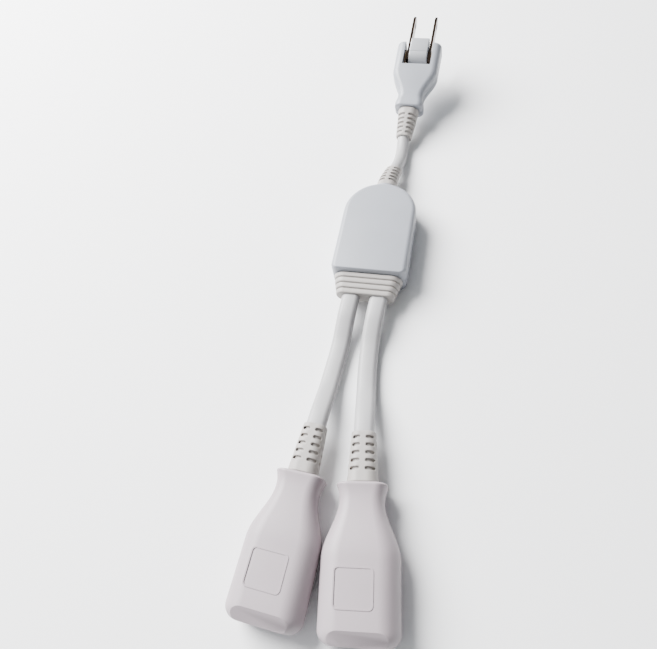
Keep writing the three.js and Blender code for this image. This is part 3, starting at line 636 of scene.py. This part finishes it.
# Splitter body and plug housing: their ends say where the boots go
splitterSpec = dict(
    width=37.4, straight=38, height=16, edge=2.6, corner=3.4, leastCorner=0.3, archSteps=60,
    outletY=-28, wall=2, seamEdge=0.12, endShare=0.3, shadeAngle=30,
    collarLength=1.2, collarW=6.4, collarH=6.4, collarReach=5, collarSpread=5.6, collarLift=1.4,
    collarEdge=0.35, collarSteps=11, inletHole=(20, 40), outletHole=(-30, -24),
)
splitterSpec["archY"] = splitterSpec["outletY"] + splitterSpec["straight"]
splitterSpec["apexY"] = splitterSpec["archY"] + splitterSpec["width"] / 2
splitterSpec["collarY"] = splitterSpec["apexY"] + splitterSpec["collarLength"]
plugSpec = dict(
    width=25.8, height=14, length=40.9, setback=2.5, full=18, neckW=14.8, neckH=12.4, neckAt=34,
    heelW=16.4, heelH=13.2, heel=2, heelRounding=0.8, corner=3.8, rounding=1.9, shadeAngle=28,
    recess=16.3, recessGap=2.1, recessRim=0.45, recessEnd=5, pivot=8.8, rotor=6.6,
    trunnion=2.2, trunnionEnd=11.1, boreSides=24, shoulderSteps=32, cavitySteps=10,
    wall=2, cavityWall=1.2, endWall=2.2, flangeRoom=(2.2, 5.2), neckHole=(-1, 3.2),
    brushX=7.65, brushSlotW=0.55, brushSlotH=2.4,
)
plugSpec["heelY"] = -plugSpec["setback"] - plugSpec["length"]

makeBoot("inletBoot", "splitter_inlet_boot", inletBootSpec, shifted(splitterPlace, splitterSpec["collarY"]))
makeBoot("plugBoot", "plug_boot", plugBootSpec, shifted(plugPlace, plugSpec["heelY"], True))
makeBoot("leftSocketBoot", "socket_left_boot", socketBootSpec, leftPlace)
makeBoot("rightSocketBoot", "socket_right_boot", socketBootSpec, rightPlace)
print("stage: boots made")

# Ribbed outlet boot
ribSpec = dict(
    count=4, pitch=2.85, length=2.3, rounding=0.6, groove=0.75, grooveStep=0.02,
    root=(17.3, 5.7), tip=(14.1, 3.8), corner=5.4, cornerSteps=14, neck=(12.6, 4.4, 3.0),
    anchorLength=2.4, anchorRim=1.2, spacing=13.6, bore=(4.5, 2.8), boreStart=4, shadeAngle=40,
)


def ribStations(spec):
    length = spec["count"] * spec["pitch"]
    rounding = spec["rounding"]
    step = spec["grooveStep"]

    def station(y, inset):
        w = mix(spec["root"][0], spec["tip"][0], y / length) - inset
        h = mix(spec["root"][1], spec["tip"][1], y / length) - inset
        return dict(y=y, w=w, h=h, r=spec["corner"])

    stations = []
    for rib in range(spec["count"]):
        start = rib * spec["pitch"] + gap
        end = start + spec["length"]
        for angle in arc(edgeSteps):
            y = start + rounding * (1 - math.cos(angle))
            stations.append(station(y, rounding * (1 - math.sin(angle))))
        for angle in reversed(arc(edgeSteps)):
            y = end - rounding * (1 - math.cos(angle))
            stations.append(station(y, rounding * (1 - math.sin(angle))))
        if rib < spec["count"] - 1:
            stations.append(station(end + step, spec["groove"]))
            stations.append(station(start + spec["pitch"] - step, spec["groove"]))
    return stations


def makeRibbedBoot(spec, place):
    grip = splitterSpec["wall"] + gap
    stations = neckStations(spec["neck"], grip, spec) + ribStations(spec)
    piece = loft("outletBoot", stations, place, corner=spec["cornerSteps"])
    w, h = spec["bore"]
    start, end = -grip - spec["boreStart"], spec["count"] * spec["pitch"] + past
    bores = []
    for side in (-1, 1):
        size = dict(x=side * spec["spacing"] / 2, w=w, h=h, r=h)
        bores.append(loft("bore", [dict(y=start, **size), dict(y=end, **size)], place))
    carve(piece, bores)
    shade(piece, spec["shadeAngle"])
    finish(piece, "boot")
    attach(piece, rootBody)
    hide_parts("splitter_outlet_boot")


makeRibbedBoot(ribSpec, shifted(splitterPlace, splitterSpec["outletY"], True))
print("stage: ribbed boot made")


# Splitter body
def splitterRing(inset, z, endInset=None):
    # the body's outline: two small corners at the outlet end, and the arch
    spec = splitterSpec
    side = spec["width"] / 2 - inset
    end = spec["outletY"] + (inset if endInset is None else endInset)
    corner = max(spec["leastCorner"], spec["corner"] - inset)
    points = []
    for middle, quarter in ((-side + corner, 2), (side - corner, 3)):
        for angle in arc(arcSteps, quarter):
            x = middle + corner * math.cos(angle)
            points.append((x, end + corner + corner * math.sin(angle), z))
    for angle in arc(spec["archSteps"], 0, 2):
        points.append((side * math.cos(angle), spec["archY"] + side * math.sin(angle), z))
    return points


def splitterShell(side, name):
    spec = splitterSpec
    edge, wall = spec["edge"], spec["wall"]
    top = spec["height"] / 2
    rings = [splitterRing(wall, side * (top - wall)), splitterRing(wall, side * halfSeam)]
    rings.append(splitterRing(spec["seamEdge"], side * halfSeam))
    rings.append(splitterRing(0, side * (halfSeam + spec["seamEdge"])))
    for angle in arc(arcSteps):
        inset = edge * (1 - math.cos(angle))
        z = side * (top - edge + edge * math.sin(angle))
        rings.append(splitterRing(inset, z, inset * spec["endShare"]))
    return skinRings(name, rings, splitterPlace)


def splitterCollar(side):
    # flows out of the arch and ends round the inlet boot
    spec = splitterSpec
    edge = spec["collarEdge"]
    stations = []
    for share in shares(spec["collarSteps"]):
        ease = (1 - share) ** 2
        y = mix(spec["apexY"] - spec["collarReach"], spec["collarY"] - edge, share)
        w = spec["collarW"] + spec["collarSpread"] * ease
        h = spec["collarH"] + spec["collarLift"] * ease
        stations.append(dict(y=y, w=w, h=h, r=h))
    w, h = spec["collarW"] - edge, spec["collarH"] - edge
    stations.append(dict(y=spec["collarY"], w=w, h=h, r=spec["collarH"]))
    collar = loft("collar", stations, splitterPlace, corner=housingCornerSteps)
    keepHalf(collar, side, splitterPlace)
    return collar


def makeSplitterBody(side, name, node):
    spec = splitterSpec
    piece = splitterShell(side, name)
    carve(piece, [splitterCollar(side)], "UNION")
    neck = inletBootSpec["neck"]
    inside, outside = spec["inletHole"]
    roomEnd = spec["collarY"] - bootCommon["endWall"]
    carve(piece, [
        neckCutter("opening", neck, gap, inside, outside, splitterPlace),
        neckCutter("room", neck, bootCommon["anchorRim"] + gap, inside, roomEnd, splitterPlace),
        neckCutter("outletOpening", ribSpec["neck"], gap, *spec["outletHole"], splitterPlace),
    ])
    shade(piece, spec["shadeAngle"])
    finish(piece, "shell")
    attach(piece, rootBody)
    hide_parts(node)


makeSplitterBody(1, "splitterTop", "splitter_shell_top")
makeSplitterBody(-1, "splitterBottom", "splitter_shell_bottom")
print("stage: splitter body made")

# Sockets
socketSpec = dict(
    length=57.3, mouthW=30.6, mouthH=17.4, neckW=18, neckH=13.9, neckAt=7, bellAt=28, bellMargin=4,
    bellSteps=48, lipSteps=7, frameSteps=6,
    flare=1.3, flareLift=0.5, flareEnd=6.6, lip=0.9, neckCorner=5, corner=8.2, shadeAngle=28,
    mouthRounding=5.2, mouthEdge=1.6, facet=5, facetAngle=34, facetBlock=(30, 12, 8),
    faceWall=3, wall=2, roomEnd=4.5, flangeRoom=(-5.6, -2.2), neckHole=(-3, 1),
    contactSpacing=12.7, slotW=1.9, slotH=(8.1, 6.9), pocketW=2.4, pocketH=3.5, pocket=23,
    frameX=(-9.3, 5.6), frameY=(-45.8, -31.4), frameRim=0.55, frameRise=0.22, frameRoot=0.5,
    frameCorner=1.8,
)


def socketStation(y):
    spec = socketSpec
    share = smoothStep(-y, spec["neckAt"], spec["bellAt"])
    flare = spec["flare"] * max(0.0, (y + spec["flareEnd"]) / (spec["flareEnd"] - spec["lip"])) ** 2
    return dict(
        y=y, w=mix(spec["neckW"], spec["mouthW"], share) / 2 + flare,
        h=mix(spec["neckH"], spec["mouthH"], share) / 2 + flare * spec["flareLift"],
        r=mix(spec["neckCorner"], spec["corner"], share),
    )


def socketStations(spec):
    # the rounded mouth, the bell that narrows to the neck, and the flare's rounded lip
    stations = []
    for angle in arc(runSteps):
        station = socketStation(-spec["length"] + spec["mouthRounding"] * (1 - math.cos(angle)))
        station["w"] -= spec["mouthRounding"] * (1 - math.sin(angle))
        station["h"] -= spec["mouthEdge"] * (1 - math.sin(angle))
        stations.append(station)
    for share in shares(spec["bellSteps"]):
        stations.append(socketStation(-mix(spec["bellAt"] + spec["bellMargin"], spec["lip"], share)))
    for angle in arc(spec["lipSteps"])[1:]:
        station = socketStation(-spec["lip"])
        station["y"] = -spec["lip"] * (1 - math.sin(angle))
        station["w"] -= spec["lip"] * (1 - math.cos(angle))
        station["h"] -= spec["lip"] * (1 - math.cos(angle))
        stations.append(station)
    return stations


def framePrism(spec, inset, low, high, place):
    corner = spec["frameCorner"] - inset
    (x0, x1), (y0, y1) = spec["frameX"], spec["frameY"]
    corners = ((x1, y1, 1, 1), (x0, y1, -1, 1), (x0, y0, -1, -1), (x1, y0, 1, -1))
    outline = []
    for quarter, (cx, cy, sideX, sideY) in enumerate(corners):
        for angle in arc(spec["frameSteps"], quarter):
            outline.append((
                cx - sideX * (inset + corner) + corner * math.cos(angle),
                cy - sideY * (inset + corner) + corner * math.sin(angle),
            ))
    return skinRings("frameRelief", [[(x, y, z) for x, y in outline] for z in (low, high)], place)


def frameRelief(spec, place):
    # a plain raised frame on the top face
    top = spec["mouthH"] / 2
    frameBar = framePrism(spec, 0, top - spec["frameRoot"], top + spec["frameRise"], place)
    carve(frameBar, [framePrism(spec, spec["frameRim"], top - 2 * past, top + 2 * past, place)])
    return frameBar


def socketRoom(spec, pocketEnd, place):
    # the hollow behind the contacts
    stations = []
    for share in shares(runSteps):
        station = socketStation(-mix(-pocketEnd - spec["pocket"], spec["roomEnd"], share))
        station["w"] -= spec["wall"]
        station["h"] -= spec["wall"]
        stations.append(station)
    return loft("room", stations, place)


def contactCutters(spec, pocketEnd, place):
    # for each contact, its pocket and the slot that a blade goes in by
    cutters = []
    w, h = spec["pocketW"], spec["pocketH"]
    for side, slotH in zip((-1, 1), spec["slotH"]):
        x = side * spec["contactSpacing"] / 2
        pocketBack = pocketEnd + spec["pocket"] + past
        cutters.append(block("pocket", (x - w, pocketEnd, -h), (x + w, pocketBack, h), place))
        cutters.append(block(
            "slot", (x - spec["slotW"] / 2, -spec["length"] - past, -slotH / 2),
            (x + spec["slotW"] / 2, pocketEnd + past, slotH / 2), place,
        ))
    return cutters


def facetCutters(spec, place):
    # the sloping facets above and below the mating face
    cutters = []
    w, reach, rise = spec["facetBlock"]
    for side in (-1, 1):
        tilt = Matrix.Rotation(math.radians(spec["facetAngle"]) * side, 4, "X")
        hinge = Vector((0, -spec["length"] + spec["facet"], side * spec["mouthH"] / 2))
        low, high = (0, rise) if side > 0 else (-rise, 0)
        rings = []
        for y in (-reach, reach):
            corners = ((-w, low), (w, low), (w, high), (-w, high))
            rings.append([tuple(hinge + tilt @ Vector((x, y, z))) for x, z in corners])
        cutters.append(skinRings("facet", rings, place))
    return cutters


def splitHousing(body, pieceNames, node, look, angle, place):
    # the two halves of a housing, above and below its parting line
    lower = copyPiece(body, pieceNames[1])
    for piece, side, name, end in ((body, 1, pieceNames[0], "top"), (lower, -1, pieceNames[1], "bottom")):
        keepHalf(piece, side, place)
        piece.name = name
        shade(piece, angle)
        finish(piece, look)
        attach(piece, rootBody)
        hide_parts(f"{node}_shell_{end}")


def makeSocket(pieceNames, node, place):
    spec = socketSpec
    body = loft("socketBody", socketStations(spec), place, corner=housingCornerSteps)
    pocketEnd = -spec["length"] + spec["faceWall"]
    neck = socketBootSpec["neck"]
    cutters = [
        socketRoom(spec, pocketEnd, place),
        neckCutter("flangeRoom", neck, bootCommon["anchorRim"] + gap, *spec["flangeRoom"], place),
        neckCutter("opening", neck, gap, *spec["neckHole"], place),
    ]
    carve(body, [frameRelief(spec, place)], "UNION")
    carve(body, cutters + contactCutters(spec, pocketEnd, place) + facetCutters(spec, place))
    splitHousing(body, pieceNames, node, "socketShell", spec["shadeAngle"], place)


makeSocket(("leftSocketTop", "leftSocketBottom"), "socket_left", leftPlace)
makeSocket(("rightSocketTop", "rightSocketBottom"), "socket_right", rightPlace)
print("stage: sockets made")


# Plug housing
def plugStation(y):
    spec = plugSpec
    share = smoothStep(-y - spec["setback"], spec["full"], spec["neckAt"])
    return dict(
        y=y, w=mix(spec["width"], spec["neckW"], share) / 2,
        h=mix(spec["height"], spec["neckH"], share) / 2, r=spec["corner"],
    )


def plugStations(spec):
    # the rounded heel, the neck, the shoulders, and the rounded tips of the fork
    heelY, heelW, heelH = spec["heelY"], spec["heelW"] / 2, spec["heelH"] / 2
    neckY = -spec["setback"] - spec["neckAt"]
    forkY = -spec["setback"]
    stations = []
    for angle in arc(edgeSteps):
        inset = spec["heelRounding"] * (1 - math.sin(angle))
        y = heelY + spec["heelRounding"] * (1 - math.cos(angle))
        stations.append(dict(y=y, w=heelW - inset, h=heelH - inset, r=spec["corner"]))
    for share in shares(arcSteps)[1:-1]:
        fall = smoothStep(share, 0, 1)
        stations.append(dict(
            y=mix(heelY + spec["heel"], neckY, share), w=mix(heelW, spec["neckW"] / 2, fall),
            h=mix(heelH, spec["neckH"] / 2, fall), r=spec["corner"],
        ))
    for share in shares(spec["shoulderSteps"]):
        stations.append(plugStation(mix(neckY, forkY - spec["full"], share)))
    for angle in arc(arcSteps):
        station = plugStation(forkY - spec["rounding"] * (1 - math.sin(angle)))
        station["w"] -= spec["rounding"] * (1 - math.cos(angle))
        station["h"] -= spec["rounding"] * (1 - math.cos(angle))
        stations.append(station)
    return stations


def plugCavity(spec, recessY, place):
    stations = []
    for share in shares(spec["cavitySteps"]):
        station = plugStation(mix(spec["heelY"] + spec["endWall"], recessY - spec["wall"], share))
        station["w"] -= spec["cavityWall"]
        station["h"] -= spec["cavityWall"]
        stations.append(station)
    return loft("cavity", stations, place)


def forkCutters(spec, recessY, place):
    # the fork's opening, with a fine chamfer round it above and below
    half, rim, end = spec["recess"] / 2, spec["recessRim"], spec["recessEnd"]
    cutters = [block("recess", (-half, recessY, -farCut), (half, end, farCut), place)]
    for face in (1, -1):
        rings = []
        for grow in (-rim, rim):
            x, y, z = half + grow, recessY - grow, face * (spec["height"] / 2 + grow)
            rings.append([(-x, y, z), (x, y, z), (x, end, z), (-x, end, z)])
        cutters.append(skinRings("rimCut", rings, place))
    return cutters


def brushCutters(spec, recessY, place):
    # the slits that the plug's contacts reach the fork through
    w, h = spec["brushSlotW"], spec["brushSlotH"]
    back, front = recessY - spec["wall"] - past, recessY + past
    cutters = []
    for side in (-1, 1):
        x = side * spec["brushX"]
        cutters.append(block("brushSlot", (x - w, back, -h), (x + w, front, h), place))
    return cutters


def makePlugHousing(pieceNames, node, place):
    spec = plugSpec
    body = loft("plugBody", plugStations(spec), place, corner=housingCornerSteps)
    recessY = -spec["pivot"] - spec["rotor"] - spec["recessGap"]
    neck = plugBootSpec["neck"]
    flangeRoom = [spec["heelY"] + y for y in spec["flangeRoom"]]
    neckHole = [spec["heelY"] + y for y in spec["neckHole"]]
    boreRadius, boreEnd = spec["trunnion"] + runningGap, spec["trunnionEnd"] + gap
    cutters = [
        plugCavity(spec, recessY, place),
        neckCutter("flangeRoom", neck, bootCommon["anchorRim"] + gap, *flangeRoom, place),
        neckCutter("opening", neck, gap, *neckHole, place),
        bar("trunnionBore", boreRadius, -spec["pivot"], boreEnd, spec["boreSides"], place),
    ]
    carve(body, cutters + forkCutters(spec, recessY, place) + brushCutters(spec, recessY, place))
    splitHousing(body, pieceNames, node, "shell", spec["shadeAngle"], place)


makePlugHousing(("plugTop", "plugBottom"), "plug", plugPlace)
print("stage: plug housing made")

# Blade carrier: a tongue with a round back, on two trunnions, with a key through each blade
rotorSpec = dict(
    radius=6.6, pivot=8.8, corner=1.2, width=10.6, bevel=0.55, drumSteps=40, pinSides=32,
    trunnion=2.2, trunnionEnd=11.1, key=1.2, keyReach=5.4, keyEnd=7.1,
    step=0.25, stepRun=(0.35, 0.08), stepEdge=0.12, shadeAngle=30,
)


def rotorOutline(spec, x, inset):
    # the tongue's two front corners, and the drum round the pivot, a little smaller than the tongue
    pivot, radius, corner = -spec["pivot"], spec["radius"], spec["corner"]
    bend = corner - inset
    drum = radius - spec["step"] - inset
    run, edge = spec["stepRun"], spec["stepEdge"]
    points = []
    for side, quarter in ((-1, -1), (1, 0)):
        for angle in arc(arcSteps, quarter):
            z = side * (radius - corner) + bend * math.sin(angle)
            points.append((-corner + bend * math.cos(angle), z))
    points += [(pivot + run[0], radius - inset), (pivot + run[1], radius - edge - inset)]
    for angle in arc(spec["drumSteps"], 1, 2):
        points.append((pivot + drum * math.cos(angle), drum * math.sin(angle)))
    points += [(pivot + run[1], edge + inset - radius), (pivot + run[0], inset - radius)]
    return [(x, y, z) for y, z in points]


def makeRotor(spec, place):
    half, bevel = spec["width"] / 2, spec["bevel"]
    pivot = -spec["pivot"]
    sideSteps = [(half - bevel * (1 - math.sin(a)), bevel * (1 - math.cos(a))) for a in arc(edgeSteps)]
    rings = [rotorOutline(spec, -x, inset) for x, inset in reversed(sideSteps)]
    rings += [rotorOutline(spec, x, inset) for x, inset in sideSteps]
    piece = skinRings("bladeCarrier", rings, place)
    carve(piece, [
        bar("trunnion", spec["trunnion"], pivot, spec["trunnionEnd"], spec["pinSides"], place),
        bar("key", spec["key"], pivot + spec["keyReach"], spec["keyEnd"], spec["pinSides"], place),
    ], "UNION")
    shade(piece, spec["shadeAngle"])
    finish(piece, "rotor")
    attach(piece, "blade_rotor")
    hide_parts("plug_rotor")


makeRotor(rotorSpec, plugPlace)
print("stage: blade carrier made")

# Pieces kept from the frame: their finish, and fine edges on the blades
bladeEdge = dict(width=0.15, segments=2, angle=35)
slotOf = {row["node"]: row["material_slot"] for row in frame["record"]["subparts"]}
for name, piece in frame["nodes"].items():
    piece.data.materials.clear()
    piece.data.materials.append(finishes[slotOf[name]])
for name in ("blade_left", "blade_right"):
    roundEdges(frame["nodes"][name], **bladeEdge)


# Floor and light
stageSpec = dict(
    floorSize=6000, floorTone=(0.93, 0.93, 0.935), floorRoughness=0.9, roomTone=(0.93, 0.96, 1),
    brightSide=1.2, brightAt=-0.6, dimSide=0.2, dimAt=0.35,
)
keyLight = dict(place=(-0.75, 0.35, 0.75), aim=(0, 0, 0), size=0.9, power=80)


def makeFloor(spec):
    half = spec["floorSize"] / 2
    corners = [(-half, -half, 0), (half, -half, 0), (half, half, 0), (-half, half, 0)]
    floor = newPiece("floor", corners, [(0, 1, 2, 3)])
    material, tree, shader = nodeMaterial("floorPaper")
    shader.inputs["Base Color"].default_value = (*spec["floorTone"], 1)
    shader.inputs["Roughness"].default_value = spec["floorRoughness"]
    floor.data.materials.append(material)


def makeRoom(spec):
    # bright on the side of the window and dim on the other
    world = bpy.data.worlds.new("studio")
    world.use_nodes = True
    nodes, links = world.node_tree.nodes, world.node_tree.links
    where = nodes.new("ShaderNodeTexCoord")
    split = nodes.new("ShaderNodeSeparateXYZ")
    strength = nodes.new("ShaderNodeMapRange")
    strength.inputs["From Min"].default_value = spec["brightAt"]
    strength.inputs["From Max"].default_value = spec["dimAt"]
    strength.inputs["To Min"].default_value = spec["brightSide"]
    strength.inputs["To Max"].default_value = spec["dimSide"]
    background = nodes["Background"]
    background.inputs["Color"].default_value = (*spec["roomTone"], 1)
    links.new(where.outputs["Generated"], split.inputs["Vector"])
    links.new(split.outputs["X"], strength.inputs["Value"])
    links.new(strength.outputs["Result"], background.inputs["Strength"])
    bpy.context.scene.world = world


def makeAreaLight(name, place, aim, size, power):
    data = bpy.data.lights.new(name, "AREA")
    data.shape = "DISK"
    data.size = size
    data.energy = power
    light = bpy.data.objects.new(name, data)
    bpy.context.scene.collection.objects.link(light)
    turned = (Vector(aim) - Vector(place)).to_track_quat("-Z", "Y")
    light.matrix_world = Matrix.Translation(Vector(place)) @ turned.to_matrix().to_4x4()


makeFloor(stageSpec)
makeRoom(stageSpec)
makeAreaLight("keyLight", **keyLight)
print("stage: floor and light ready")
